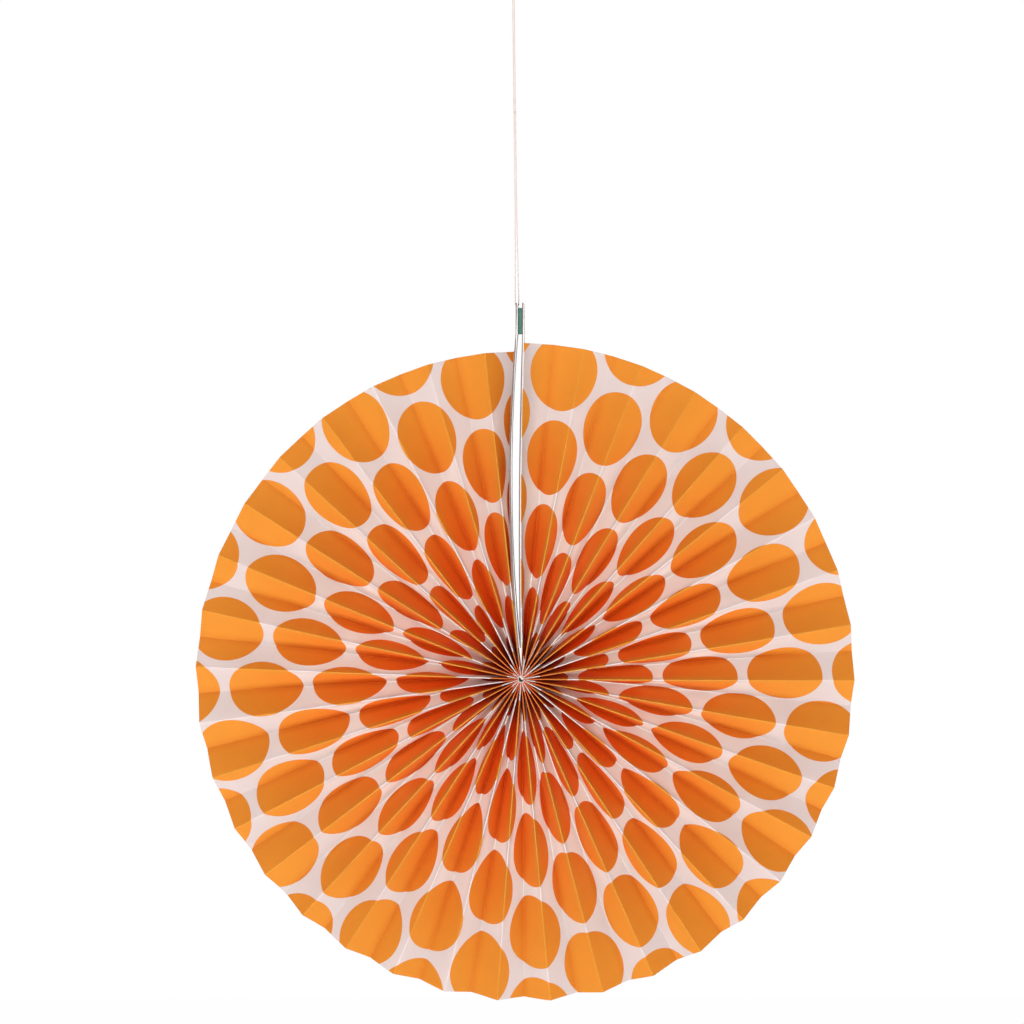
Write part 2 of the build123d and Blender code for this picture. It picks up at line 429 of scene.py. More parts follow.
def printed_paper():
    """The front: dots on a pale ground, with painted shade that darkens and reddens them down in the
    folds and at the hub, painted light that lifts the ground there, and crests lighter from worn ink and
    a painted highlight.
    """
    prints, paper = fan().prints, fan().paper
    material, tree, shader, fibres, clouds, along, inward = paper_base("dotted_paper")
    dots = dot_share(prints, along, inward)
    _, from_crest, from_hub = two_lengths(tree, "fold")
    # Painted shade: the dots turn darker and redder down the folds towards the hub
    near_hub = from_hub.ramp(*FOLD_SHADE_REACH) ** 1.35
    deep = near_hub * from_crest.ramp(*FOLD_SHADE_DEPTH)
    # Painted shade near the hub: this share darkens the dots towards the hub, and down the folds it sets
    # the painted shadow below
    at_hub = from_hub.ramp(*HUB_SHADE_REACH)
    # Painted shadow: deep in the folds at the hub this share darkens the dots and tints the ground peach
    gathered = at_hub * from_crest.ramp(*DEEP_AT_HUB)
    # Lighter crest lines: partly ink worn off the folds, partly a painted highlight where the crests
    # catch the light
    worn = from_crest.ramp(*CREST_LINE) * from_hub.ramp(*WEAR_AND_HIGHLIGHT_REACH) * (0.42 - at_hub * 0.32)
    # Painted shade: a soft darker band along each valley
    valley_shade = from_crest.ramp(*VALLEY_LINE) ** 1.5 * (near_hub * 0.5 + 0.2)
    # Painted light: the ground lighter and warmer down the folds towards the hub
    pale = from_hub.ramp(*FOLD_LIGHT_REACH) * from_crest.ramp(*FOLD_LIGHT_DEPTH)

    inked = colour_mix(tree, deep, prints.orange, prints.fold_shade_orange)
    inked = colour_mix(tree, valley_shade, inked, prints.valley_shade_orange)
    inked = colour_mix(tree, at_hub, inked, prints.hub_shade_orange)
    inked = colour_mix(tree, gathered, inked, prints.hub_shadow_orange)
    inked = colour_mix(tree, worn, inked, prints.crest_wear_and_highlight_orange)
    bare = colour_mix(tree, pale, prints.ground, prints.fold_light_ground)
    bare = colour_mix(tree, gathered * 0.8, bare, prints.hub_bounce_light_ground)
    bare = colour_mix(tree, worn, bare, prints.crest_wear_and_highlight_ground)
    mottled = (clouds * 0.4 + fibres * 0.6) * -0.3 + 1.15
    colour = vector_sum(tree, "SCALE", colour_mix(tree, dots, bare, inked), mottled)

    # The light through the paper carries the same painted shade down the folds, along the valleys and at
    # the hub, and the painted light on the ground
    glowing = colour_mix(tree, deep * 0.6, prints.glowing_orange, prints.fold_shade_orange)
    glowing = colour_mix(tree, valley_shade, glowing, prints.valley_shade_orange)
    glowing = colour_mix(tree, gathered, glowing, prints.hub_shadow_orange)
    glowing = colour_mix(tree, dots, bare, glowing)
    through_ink = from_hub.ramp(*LIT_THROUGH) * paper.light_through_ink
    passed = dots * (through_ink - paper.light_through) + paper.light_through
    passed = passed * (from_crest / THICK_CREST).within(0.35, 1.0)
    lit_through(tree, shader, colour, glowing, passed)
    return material


def paper_back():
    back = fan().prints.back
    material, tree, shader, _, clouds, _, _ = paper_base("paper_back")
    colour = colour_mix(tree, clouds, back, darker(back, 0.97))
    lit_through(tree, shader, colour, colour, fan().paper.light_through)
    return material


def card_material():
    """Greyboard with a white liner pasted on its right side."""
    seam = fan().seam
    material, tree, shader = new_material("end_card", roughness=0.85, specular=0.2)
    place = object_place(tree)
    lined = Sum(tree, attribute(tree, "across").outputs["Fac"]).ramp(*LINER)
    fibres = grain(tree, place, scale=2500.0, detail=5.0)
    flecks = grain(tree, place, scale=700.0, detail=3.0)
    fleck = ((flecks - 0.35) * 2.2).within(0.0, 1.0)
    core = colour_mix(tree, fleck, darker(seam.greyboard, 0.62), seam.greyboard)
    liner = colour_mix(tree, fibres * 0.4, seam.liner, darker(seam.liner, 0.9))
    tree.links.new(colour_mix(tree, lined, core, liner), shader.inputs["Base Color"])
    bump(tree, shader, fibres * (1.2 - lined), distance=0.05 * MM, strength=0.5)
    return material


def foam_material():
    """Closed-cell foam: small dark pores and a slightly uneven colour."""
    seam = fan().seam
    material, tree, shader = new_material("pad_foam", roughness=0.9, specular=0.25)
    place = object_place(tree)
    voronoi = add_node(tree, "ShaderNodeTexVoronoi", Vector=place, Scale=1800.0)
    cells = Sum(tree, voronoi.outputs[0])
    clouds = grain(tree, place, scale=300.0, detail=3.0)
    pore = ((0.34 - cells) * 6.0).within(0.0, 1.0)
    soft = colour_mix(tree, clouds, seam.foam, darker(seam.foam, 0.85))
    colour = colour_mix(tree, pore * 0.7, soft, darker(seam.foam, 0.55))
    tree.links.new(colour, shader.inputs["Base Color"])
    bump(tree, shader, cells, distance=0.08 * MM, strength=0.6)
    return material


def thread_material():
    """Spun cotton: fibres that run with the plies and a soft sheen."""
    thread = fan().thread
    material, tree, shader = new_material("spun_thread", roughness=0.75, specular=0.3)
    shader.inputs["Sheen Weight"].default_value = 0.25
    shader.inputs["Sheen Roughness"].default_value = 0.5
    place = object_place(tree)
    fibres = grain(tree, place, scale=6000.0, detail=4.0)
    clouds = grain(tree, place, scale=500.0, detail=2.0)
    share = fibres * 0.6 + clouds * 0.4
    colour = colour_mix(tree, share, thread.colour, darker(thread.colour, 0.88))
    tree.links.new(colour, shader.inputs["Base Color"])
    bump(tree, shader, fibres, distance=0.04 * MM, strength=0.5)
    return material


# Pleated paper

# The shortest lengths that sums divide by, and how near two points are taken for one
LEAST_LENGTH = 0.1 * MM
LEAST_RUN = 0.02 * MM
SAME_POINT = 0.002 * MM

# How softly a fold gives way to its neighbours, in radians
GIVE_WAY = 0.01

# Columns in a fold's arc on each side, how close the others crowd to the folds, and the arc's
# radius at most, as a share of the distance from the hub
ARC_COLUMNS = 2.0
CROWDING = 0.99
MOST_ROUNDING = 0.05

# Edges that stay sharp when a mesh is smoothed or rounded, and facets that count as one flat face
SHARP_FOLD = radians(60)
SHARP_EDGE = radians(50)
ONE_FACE = radians(0.2)


def pleating_tree(front, back):
    """Geometry nodes that fold one flat strip into the fan, fold by fold and row by row."""
    tree = bpy.data.node_groups.new("pleated_paper", "GeometryNodeTree")
    tree.interface.new_socket("Geometry", in_out="OUTPUT", socket_type="NodeSocketGeometry")
    paper, seam = fan().paper, fan().seam
    _, lean, _ = hung()
    sizes = {
        "Panels": paper.panels, "Rows": 46, "Columns per panel": 10,
        "Rim radius": paper.rim_radius, "Rim run-out": paper.rim_runout,
        "Panel width": paper.panel_width, "Hub radius": paper.hub_radius,
        "Paper thickness": paper.thickness, "Closest folds": paper.closest,
        "Fold rounding": paper.rounding, "Panel bulge": paper.bulge,
        "Spacing swing": paper.swing, "Spacing phase": paper.phase,
        "Unevenness": paper.unevenness, "Lift fade": paper.lift_fade, "Seed": paper.seed,
        "Card thickness": seam.card_thickness, "Card foot": seam.card_foot,
        "Seam offset": seam.seam_offset, "Left bow": seam.left_bow, "Right bow": seam.right_bow,
        "Pad thickness": seam.pad_thickness, "Pad foot": seam.pad_foot, "Seam lean": lean,
        "Hub drop": fan().thread.drop,
    }
    whole = {"Panels", "Rows", "Columns per panel", "Seed"}
    for name, value in sizes.items():
        kind = "NodeSocketInt" if name in whole else "NodeSocketFloat"
        tree.interface.new_socket(name, in_out="INPUT", socket_type=kind).default_value = value
    entry = tree.nodes.new("NodeGroupInput")
    size = {name: Sum(tree, entry.outputs[name]) for name in sizes}
    panels, width = size["Panels"], size["Panel width"]

    per_panel = size["Columns per panel"]
    columns = (panels + 2.0) * per_panel
    rows = size["Rows"]
    grid = add_node(tree, "GeometryNodeMeshGrid", Size_X=columns, Size_Y=rows,
                    Vertices_X=columns + 1.0, Vertices_Y=rows + 1.0)
    position = tree.nodes.new("GeometryNodeInputPosition").outputs[0]
    spot = add_node(tree, "ShaderNodeSeparateXYZ", Vector=position)
    column = (Sum(tree, spot.outputs[0]) + columns * 0.5).of("ROUND")
    out = (Sum(tree, spot.outputs[1]) / rows + 0.5).within(0.0, 1.0)
    panel = (column / per_panel).of("FLOOR").of("MINIMUM", panels + 1.0)
    step = column - panel * per_panel
    panel = panel - 1.0

    def uneven(number, seed):
        """A steady random number from -1 to 1 for each whole number."""
        draw = add_node(tree, "FunctionNodeRandomValue", {"data_type": "FLOAT"})
        draw.inputs[2].default_value, draw.inputs[3].default_value = -1.0, 1.0
        plug(tree, number, draw.inputs["ID"])
        plug(tree, seed, draw.inputs["Seed"])
        return Sum(tree, draw.outputs[1])

    def keep(geometry, name, first, second):
        """Keeps two lengths at each point under a name, for the materials."""
        mark = add_node(tree, "GeometryNodeStoreNamedAttribute",
                        {"data_type": "FLOAT_VECTOR", "domain": "POINT"}, Geometry=geometry, Name=name)
        value = next(slot for slot in mark.inputs if slot.name == "Value" and slot.type == "VECTOR")
        plug(tree, joined_vector(tree, first, second, 0.0), value)
        return mark.outputs[0]

    def outer_face(side, height):
        """How far right of the hub a card's outer face stands at a height above the hub."""
        climb = height.ramp(size["Card foot"], size["Pad foot"])
        bow = size["Right bow" if side == RIGHT else "Left bow"]
        apart = size["Pad thickness"] * climb * (side / 2) + size["Card thickness"] * side
        return size["Seam offset"] + apart - bow * climb * (1.0 - climb) * 4.0

    def edge_place(side, distance):
        """Left or right place of the fold beside a card, drawn in to the middle below its foot."""
        beside = outer_face(side, distance) + size["Paper thickness"] * (side / 2)
        gathered = size["Closest folds"] * (side / 2)
        return gathered.towards(beside, distance.ramp(size["Hub radius"], size["Card foot"]))

    def reach(fold):
        """How far from the hub the rim is at a fold."""
        share = (fold / panels).within(0.0, 1.0)
        return size["Rim radius"] + size["Rim run-out"] * (0.5 - share)

    right_reach = size["Rim radius"] + size["Rim run-out"] * 0.5
    left_reach = size["Rim radius"] - size["Rim run-out"] * 0.5
    first = edge_place(RIGHT, right_reach) / right_reach
    last = edge_place(LEFT, left_reach) / left_reach + tau

    def fold_angle(fold):
        """How far round from the seam a fold is, with pleats that widen and narrow once round."""
        share = fold / panels
        wave = (share * tau + size["Spacing phase"]).of("SINE") - size["Spacing phase"].of("SINE")
        return first.towards(last, share) + size["Spacing swing"] * wave

    def fold_point(fold):
        """Where a fold is at this row: its place and its distance from the hub."""
        distance = size["Hub radius"].towards(reach(fold), out)
        pitch = (fold_angle(fold + 1.0) - fold_angle(fold - 1.0)) * 0.5
        chord = distance * (pitch * 0.5).of("SINE") * 2.0
        at_card = fold.of("LESS_THAN", 0.5) + fold.of("GREATER_THAN", panels - 0.5)
        at_card = at_card.within(0.0, 1.0)
        depth = (width * width - chord * chord).of("MAXIMUM", 0.0) ** 0.5
        depth = depth.towards(width, at_card)
        angle = fold_angle(fold) + uneven(fold, size["Seed"]) * size["Unevenness"]
        room_right = edge_place(RIGHT, distance) + fold * size["Closest folds"]
        room_left = (panels - fold) * size["Closest folds"] - edge_place(LEFT, distance)
        angle = angle.of("SMOOTH_MAX", room_right / distance, GIVE_WAY)
        angle = angle.of("SMOOTH_MIN", tau - room_left / distance, GIVE_WAY)
        on_left = fold.of("GREATER_THAN", 1.0)
        beside = edge_place(RIGHT, distance).towards(edge_place(LEFT, distance), on_left)
        side = (angle.of("SINE") * distance).towards(beside, at_card)
        up = (angle.of("COSINE") * distance).towards(distance, at_card)
        back_or_front = fold.of("FLOORED_MODULO", 2.0) * 2.0 - 1.0
        lift = (width - depth) * 0.5 * (size["Lift fade"] ** fold)
        return side, back_or_front * depth * 0.5 - lift, up, distance

    from_side, from_deep, from_up, distance = fold_point(panel)
    to_side, to_deep, to_up, _ = fold_point(panel + 1.0)
    across, rise, deep = to_side - from_side, to_up - from_up, to_deep - from_deep
    spread = (across * across + rise * rise) ** 0.5
    tall = deep.of("ABSOLUTE").of("MAXIMUM", LEAST_LENGTH)
    rounding = size["Fold rounding"].of("MINIMUM", distance * MOST_ROUNDING)

    # A fold turns through a small arc on each side, and the panel runs straight between two arcs
    turn = tall.of("ARCTAN2", spread)
    left_over = (spread - rounding * turn.of("SINE") * 2.0).of("MAXIMUM", LEAST_RUN)
    turn = (tall - rounding * (1.0 - turn.of("COSINE")) * 2.0).of("ARCTAN2", left_over)
    from_fold = step.of("MINIMUM", per_panel - step)
    bend = turn * (from_fold / ARC_COLUMNS).of("MINIMUM", 1.0)
    run = ((step - ARC_COLUMNS) / (per_panel - 2 * ARC_COLUMNS)).within(0.0, 1.0)
    run = run - (run * tau).of("SINE") * (CROWDING / tau)

    def mirrored(start):
        return start.towards(1.0 - start, run)

    arc_share = rounding * bend.of("SINE") / spread.of("MAXIMUM", LEAST_LENGTH)
    side_share = mirrored(arc_share * spread.of("GREATER_THAN", LEAST_LENGTH))
    deep_share = mirrored(rounding * (1.0 - bend.of("COSINE")) / tall)
    strip_share = mirrored(rounding * bend / width)
    flat = joined_vector(tree, from_side + across * side_share, from_deep + deep * deep_share,
                         from_up + rise * side_share)

    # Each panel bulges a little to one side or the other
    free = panel.of("GREATER_THAN", 0.5) * panel.of("LESS_THAN", panels - 1.5)
    swell = uneven(panel, size["Seed"] + 7.0) * size["Panel bulge"]
    amount = swell * (run * pi).of("SINE") * out * free
    outwards = joined_vector(tree, from_side, 0.0, from_up)
    normal = vector_sum(tree, "CROSS_PRODUCT", joined_vector(tree, across, deep, rise), outwards)
    normal = vector_sum(tree, "NORMALIZE", normal)
    bulged = vector_sum(tree, "ADD", flat, vector_sum(tree, "SCALE", normal, amount))

    along = (panel + strip_share) * width
    inward = (reach(panel + strip_share) - size["Hub radius"]) * (1.0 - out)
    marked = keep(grid.outputs[0], "strip", along, inward)
    front_first = panel.of("FLOORED_MODULO", 2.0)
    from_crest = strip_share.towards(1.0 - strip_share, front_first) * width
    marked = keep(marked, "fold", from_crest, distance)
    folded = add_node(tree, "GeometryNodeSetPosition", Geometry=marked, Position=bulged)

    # The sheet gets its thickness: the back face, the front face and the cut rim between them
    facing = tree.nodes.new("GeometryNodeInputNormal").outputs[0]
    half = size["Paper thickness"] * -0.5
    behind = add_node(tree, "GeometryNodeSetPosition", Geometry=folded.outputs[0],
                      Offset=vector_sum(tree, "SCALE", facing, half))
    grown = add_node(tree, "GeometryNodeExtrudeMesh", {"mode": "FACES"}, Mesh=behind.outputs[0],
                     Offset_Scale=size["Paper thickness"], Individual=False)
    rimmed = add_node(tree, "GeometryNodeSetMaterial", Geometry=grown.outputs[0],
                      Selection=grown.outputs["Side"], Material=back)
    fronted = add_node(tree, "GeometryNodeSetMaterial", Geometry=rimmed.outputs[0],
                       Selection=grown.outputs["Top"], Material=front)
    turned = add_node(tree, "GeometryNodeFlipFaces", Mesh=behind.outputs[0])
    backed = add_node(tree, "GeometryNodeSetMaterial", Geometry=turned.outputs[0], Material=back)
    sheet = tree.nodes.new("GeometryNodeJoinGeometry")
    tree.links.new(fronted.outputs[0], sheet.inputs[0])
    tree.links.new(backed.outputs[0], sheet.inputs[0])
    closed = add_node(
        tree, "GeometryNodeMergeByDistance", Geometry=sheet.outputs[0], Distance=SAME_POINT)
    smooth = add_node(tree, "GeometryNodeSetShadeSmooth", Geometry=closed.outputs[0])
    turned_up = joined_vector(tree, 0.0, size["Seam lean"], 0.0)
    dropped = joined_vector(tree, 0.0, 0.0, size["Hub drop"] * -1.0)
    hanging = add_node(tree, "GeometryNodeTransform", Geometry=smooth.outputs[0],
                       Rotation=turned_up, Translation=dropped)
    real = add_node(tree, "GeometryNodeRealizeInstances", Geometry=hanging.outputs[0])
    leave = tree.nodes.new("NodeGroupOutput")
    tree.links.new(real.outputs[0], leave.inputs[0])
    return tree


def grown_mesh(name, tree):
    """Runs a node tree on an empty object and keeps the result as a plain mesh."""
    holder = bpy.data.objects.new(name + "_holder", bpy.data.meshes.new(name + "_holder"))
    bpy.context.scene.collection.objects.link(holder)
    modifier = holder.modifiers.new("shape", "NODES")
    modifier.node_group = tree
    bpy.context.view_layer.update()
    seen = holder.evaluated_get(bpy.context.evaluated_depsgraph_get())
    mesh = bpy.data.meshes.new_from_object(seen)
    mesh.name = name
    holder.modifiers.remove(modifier)
    bpy.data.objects.remove(holder)
    return mesh


class PAPERFAN_OT_pleated_paper(bpy.types.Operator):
    """Folds the printed strip into the fan"""

    bl_idname = "paperfan.pleated_paper"
    bl_label = "Pleated paper"

    def execute(self, context):
        mesh = grown_mesh("folded_paper", pleating_tree(printed_paper(), paper_back()))
        mesh.set_sharp_from_angle(angle=SHARP_FOLD)
        own_mesh("folded_paper", mesh, "pleated_paper")
        return {"FINISHED"}


# Cards and pad

CARD_EDGE = 0.1 * MM
PAD_EDGE = 0.35 * MM
PAD_DENT = 0.06 * MM


def merged_copy(node):
    """A closed copy of a CAD node's mesh, with flat faces rather than loose triangles."""
    work = bmesh.new()
    work.from_mesh(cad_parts[node].data)
    bmesh.ops.remove_doubles(work, verts=work.verts, dist=0.001 * MM)
    bmesh.ops.dissolve_limit(work, angle_limit=ONE_FACE, verts=work.verts, edges=work.edges)
    return work


def rounded(work, edges, size, segments):
    bmesh.ops.bevel(work, geom=edges, offset=size, segments=segments, profile=0.5,
                    affect="EDGES", clamp_overlap=True)


def finished_mesh(name, work):
    mesh = bpy.data.meshes.new(name)
    work.to_mesh(mesh)
    work.free()
    return mesh


class PAPERFAN_OT_end_cards(bpy.types.Operator):
    """Gives the two end cards worn edges and their liner and core"""

    bl_idname = "paperfan.end_cards"
    bl_label = "End cards"

    def execute(self, context):
        material = card_material()
        seam = fan().seam
        upright = hung()[0].inverted()
        cards = (LEFT, "left_end_card", "left_card"), (RIGHT, "right_end_card", "right_card")
        for side, node, name in cards:
            work = merged_copy(node)
            sharp = [edge for edge in work.edges if edge.calc_face_angle(0.0) > SHARP_EDGE]
            rounded(work, sharp, CARD_EDGE, 2)
            across = work.verts.layers.float.new("across")
            to_left_face = seam.card_thickness if side == LEFT else 0.0
            for vert in work.verts:
                spot = upright @ vert.co
                left_face = card_inner_face(seam, side, spot.z) - to_left_face
                vert[across] = (spot.x - left_face) / seam.card_thickness
            own_mesh(name, finished_mesh(name, work), node, material)
        return {"FINISHED"}


class PAPERFAN_OT_joining_pad(bpy.types.Operator):
    """Cuts the foam pad between the cards, with soft edges and an uneven skin"""

    bl_idname = "paperfan.joining_pad"
    bl_label = "Joining pad"

    def execute(self, context):
        work = merged_copy("joining_pad")
        rounded(work, work.edges[:], PAD_EDGE, 3)
        bmesh.ops.triangulate(work, faces=work.faces)
        bmesh.ops.subdivide_edges(work, edges=work.edges, cuts=3, use_grid_fill=True)
        bmesh.ops.recalc_face_normals(work, faces=work.faces)
        work.normal_update()
        for vert in work.verts:
            dent = noise.noise(vert.co * 900) + 0.5 * noise.noise(vert.co * 2300)
            vert.co -= vert.normal * (PAD_DENT * (1 + dent))
        for face in work.faces:
            face.smooth = True
        mesh = finished_mesh("foam_pad", work)
        pad = own_mesh("foam_pad", mesh, "joining_pad", foam_material())
        return {"FINISHED"}


# Thread

# One of the two plies: how far out and how thick it is as shares of the thread, and its sides
PLY_OUT = 0.22
PLY_RADIUS = 0.27
PLY_SIDES = 7
THREAD_STEP = 0.3 * MM

# The route beside its own line, and up from the hole
STRAND_TO_CARD = 0.12 * MM
STRAND_OUT = 0.42 * MM
HOLE_SLACK = 0.1 * MM
BESIDE_CARD_DIAMETERS = 6
STRANDS_MEET = 50 * MM
STRANDS_STRAIGHT = 100 * MM
KNOT_ABOVE_BOTTOM = 115 * MM

# The loop at the top, down from the hanging point
LOOP_OUT = 2.2 * MM
LOOP_PARTS = -23.7 * MM
LOOP_OPENS = -14 * MM
LOOP_WIDEST = -4.5 * MM

# Knots: their size, the radius of their thread, and where the tie's stands in front of the ring
STRAND_KNOT = 0.26 * MM, 0.3 * MM
TIE_KNOT = 0.2 * MM, 0.27 * MM
KNOT_SIDES = 8
KNOT_STEPS = 72
TIE_STEPS = 96
TIE_PLY_TURNS = 8
TIE_END_RADIUS = 0.2 * MM
TIE_KNOT_SIDE = 0.62 * MM
TIE_KNOT_OUT = 0.35 * MM


def frames_along(points, closed=False):
    """Each point of a line with two directions square to it that turn as little as can be."""
    guide = Vector((0.31, 0.87, 0.38))
    last = len(points) - 1
    for index, point in enumerate(points):
        after = points[(index + 1) % len(points)] if closed else points[min(index + 1, last)]
        before = points[index - 1] if closed or index else points[0]
        along = (after - before).normalized()
        guide = (guide - along * guide.dot(along)).normalized()
        yield point, guide, along.cross(guide)


def tube_along(points, radius, sides, closed=False):
    """A round tube along a line of points, with both ends capped unless it is closed."""
    work = bmesh.new()
    turns = [tau * side / sides for side in range(sides)]
    rings = [
        [work.verts.new(point + (guide * cos(turn) + other * sin(turn)) * radius) for turn in turns]
        for point, guide, other in frames_along(points, closed)
    ]
    pairs = list(zip(rings, rings[1:]))
    if closed:
        pairs.append((rings[-1], rings[0]))
    for low, high in pairs:
        for side in range(sides):
            near = (side + 1) % sides
            work.faces.new((low[side], low[near], high[near], high[side]))
    if not closed:
        work.faces.new(rings[0][::-1])
        work.faces.new(rings[-1])
    bmesh.ops.recalc_face_normals(work, faces=work.faces)
    for face in work.faces:
        face.smooth = len(face.verts) == 4
    return work


def two_plies(points, diameter, ply_turn, closed=False):
    """Two tubes that turn round a thread's line; a closed line ends on its first point."""
    tubes = []
    for start in (0.0, pi):
        line, travelled = [], 0.0
        for index, (point, guide, other) in enumerate(frames_along(points)):
            travelled += (point - points[index - 1]).length if index else 0.0
            turn = start + tau * travelled / ply_turn
            line.append(point + (guide * cos(turn) + other * sin(turn)) * diameter * PLY_OUT)
        if closed:
            line.pop()
        tubes.append(tube_along(line, diameter * PLY_RADIUS, PLY_SIDES, closed))
    return tubes


def thread_route():
    """The route's own points: up one side from the hole, over the hanging point and down again."""
    thread, seam = fan().thread, fan().seam
    hole_drop = hypot(hung()[2], seam.hole_height) - thread.drop
    bottom = hole_drop - HOLE_SLACK
    beside = seam.card_thickness / 2 + STRAND_TO_CARD + thread.diameter / 2
    one_side = [
        (beside, bottom),
        (beside, bottom + BESIDE_CARD_DIAMETERS * thread.diameter),
        (STRAND_OUT, hole_drop + STRANDS_MEET),
        (STRAND_OUT, hole_drop + STRANDS_STRAIGHT),
        (STRAND_OUT, LOOP_PARTS),
        (STRAND_OUT, LOOP_OPENS),
        (LOOP_OUT, LOOP_WIDEST),
        (LOOP_OUT, thread.diameter / 2),
    ]
    left = [(0.0, bottom)] + [(-side, height) for side, height in one_side]
    route = left + one_side[::-1] + [(0.0, bottom)]
    return [Vector((side, 0, height)) for side, height in route]


def smooth_line(route):
    """Points of the smooth line that a route's own points steer."""
    curve = bpy.data.curves.new("thread_route", "CURVE")
    curve.dimensions = "3D"
    spline = curve.splines.new("NURBS")
    spline.points.add(len(route) - 1)
    for point, place in zip(spline.points, route):
        point.co = (*place, 1)
    spline.order_u = 3
    spline.use_endpoint_u = True
    spline.resolution_u = 64
    holder = bpy.data.objects.new("thread_route", curve)
    mesh = bpy.data.meshes.new_from_object(holder)
    line = [vert.co.copy() for vert in mesh.vertices]
    bpy.data.objects.remove(holder)
    bpy.data.curves.remove(curve)
    bpy.data.meshes.remove(mesh)
    return line


def even_steps(line, step):
    """The same line with its points a fixed step apart."""
    kept, left = [line[0]], step
    for start, end in zip(line, line[1:]):
        run = (end - start).length
        done = 0.0
        while run - done >= left:
            done += left
            kept.append(start.lerp(end, done / run))
            left = step
        left -= run - done
    return kept + [line[-1]]


def joined_tubes(name, tubes):
    whole = bmesh.new()
    for tube in tubes:
        piece = finished_mesh(name + "_part", tube)
        whole.from_mesh(piece)
        bpy.data.meshes.remove(piece)
    return finished_mesh(name, whole)


def overhand_knot(middle, size, radius):
    """A pulled-tight overhand knot, with its three loops seen from the front."""
    line = []
    for step in range(KNOT_STEPS):
        turn = tau * step / KNOT_STEPS
        right = sin(turn) + 2 * sin(2 * turn)
        back = 1.1 * sin(3 * turn)
        up = cos(turn) - 2 * cos(2 * turn)
        line.append(middle + Vector((right, back, up)) * size)
    return tube_along(line, radius, KNOT_SIDES, closed=True)


class PAPERFAN_OT_hanging_thread(bpy.types.Operator):
    """Spins the hanging thread through the left card's hole, with its knot"""

    bl_idname = "paperfan.hanging_thread"
    bl_label = "Hanging thread"

    def execute(self, context):
        thread = fan().thread
        line = smooth_line(thread_route())
        plies = two_plies(even_steps(line, THREAD_STEP), thread.diameter, thread.ply_turn)
        material = thread_material()
        mesh = joined_tubes("spun_thread", plies)
        piece = own_mesh("spun_thread", mesh, "hanging_thread", material)
        middle = Vector((0, 0, line[0].z + KNOT_ABOVE_BOTTOM))
        knotted = joined_tubes("strand_knot", [overhand_knot(middle, *STRAND_KNOT)])
        ball = own_mesh("strand_knot", knotted, "thread_knot", material)
        even_steps(line, 1.0 * MM)
        return {"FINISHED"}


class PAPERFAN_OT_hub_tie(bpy.types.Operator):
    """Ties the gathered edges at the hub with a ring of thread and a small knot"""

    bl_idname = "paperfan.hub_tie"
    bl_label = "Hub tie"

    def execute(self, context):
        thread, paper = fan().thread, fan().paper
        radius = thread.tie_ring
        front = -paper.panel_width / 2
        turns = [tau * step / TIE_STEPS for step in range(TIE_STEPS + 1)]
        ring = [Vector((cos(turn) * radius, front, sin(turn) * radius)) for turn in turns]
        tubes = two_plies(ring, thread.diameter, tau * radius / TIE_PLY_TURNS, closed=True)
        middle = Vector((TIE_KNOT_SIDE, front - TIE_KNOT_OUT, TIE_KNOT_SIDE))
        tubes.append(overhand_knot(middle, *TIE_KNOT))

        # The knot's two cut ends stand a little forward
        for end in (Vector((0.9, -0.25, -0.35)), Vector((-0.5, -0.25, 0.9))):
            line = [middle + end * (MM * share) for share in (0.1, 0.5, 0.9, 1.2)]
            tubes.append(tube_along(line, TIE_END_RADIUS, PLY_SIDES))
        mesh = joined_tubes("gathering_tie", tubes)
        mesh.transform(hung()[0])
        material = bpy.data.materials["spun_thread"]
        own_mesh("gathering_tie", mesh, "hub_tie", material)
        return {"FINISHED"}


# Stage


def white_surface(name, shade, seen):
    """A pale surface that the camera sees as nearly white."""
    material, tree, shader = new_material(name, roughness=0.9, specular=0.1)
    shader.inputs["Base Color"].default_value = (shade, shade, shade, 1)
    glow = add_node(tree, "ShaderNodeEmission", Color=(1, 1, 1, 1), Strength=1.0)
    rays = add_node(tree, "ShaderNodeLightPath")
    share = Sum(tree, rays.outputs["Is Camera Ray"]) * seen
    mix = add_node(
        tree, "ShaderNodeMixShader", _0=share, _1=shader.outputs[0], _2=glow.outputs[0])
    tree.links.new(mix.outputs[0], tree.nodes["Material Output"].inputs["Surface"])
    return material


def flat_sheet(name, corners, material):
    mesh = bpy.data.meshes.new(name)
    mesh.from_pydata(corners, [], [(0, 1, 2, 3)])
    mesh.materials.append(material)
    piece = bpy.data.objects.new(name, mesh)
    bpy.context.scene.collection.objects.link(piece)
    piece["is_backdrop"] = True


def soft_light(name, place, target, width, height, power):
    light = bpy.data.lights.new(name, "AREA")
    light.shape, light.size, light.size_y, light.energy = "RECTANGLE", width, height, power
    lamp = bpy.data.objects.new(name, light)
    bpy.context.scene.collection.objects.link(lamp)
    lamp.location = place
    lamp.visible_camera = False
    lamp.rotation_euler = (Vector(target) - Vector(place)).to_track_quat("-Z", "Y").to_euler()


def studio_world(room_light):
    """A white world to the camera, and a faint light from all round to the rest."""
    world = bpy.data.worlds.new("studio")
    world.use_nodes = True
    tree = world.node_tree
    sky = tree.nodes["Background"]
    rays = add_node(tree, "ShaderNodeLightPath")
    sky.inputs["Color"].default_value = (1, 1, 1, 1)
    strength = Sum(tree, rays.outputs["Is Camera Ray"]) * (1.0 - room_light) + room_light
    tree.links.new(strength.socket, sky.inputs["Strength"])
    return world


# The camera looks at the fan from a little above, turned with the fan's own lean
CAMERA_TURN, CAMERA_TIP = radians(1.6), radians(3.8)
CAMERA_FAR, CAMERA_LEFT, CAMERA_ABOVE = 1.1482, 0.00578, 0.1004
SENSOR, LENS_PIXELS, PICTURE_PIXELS = 36.0, 1885.4, 1024


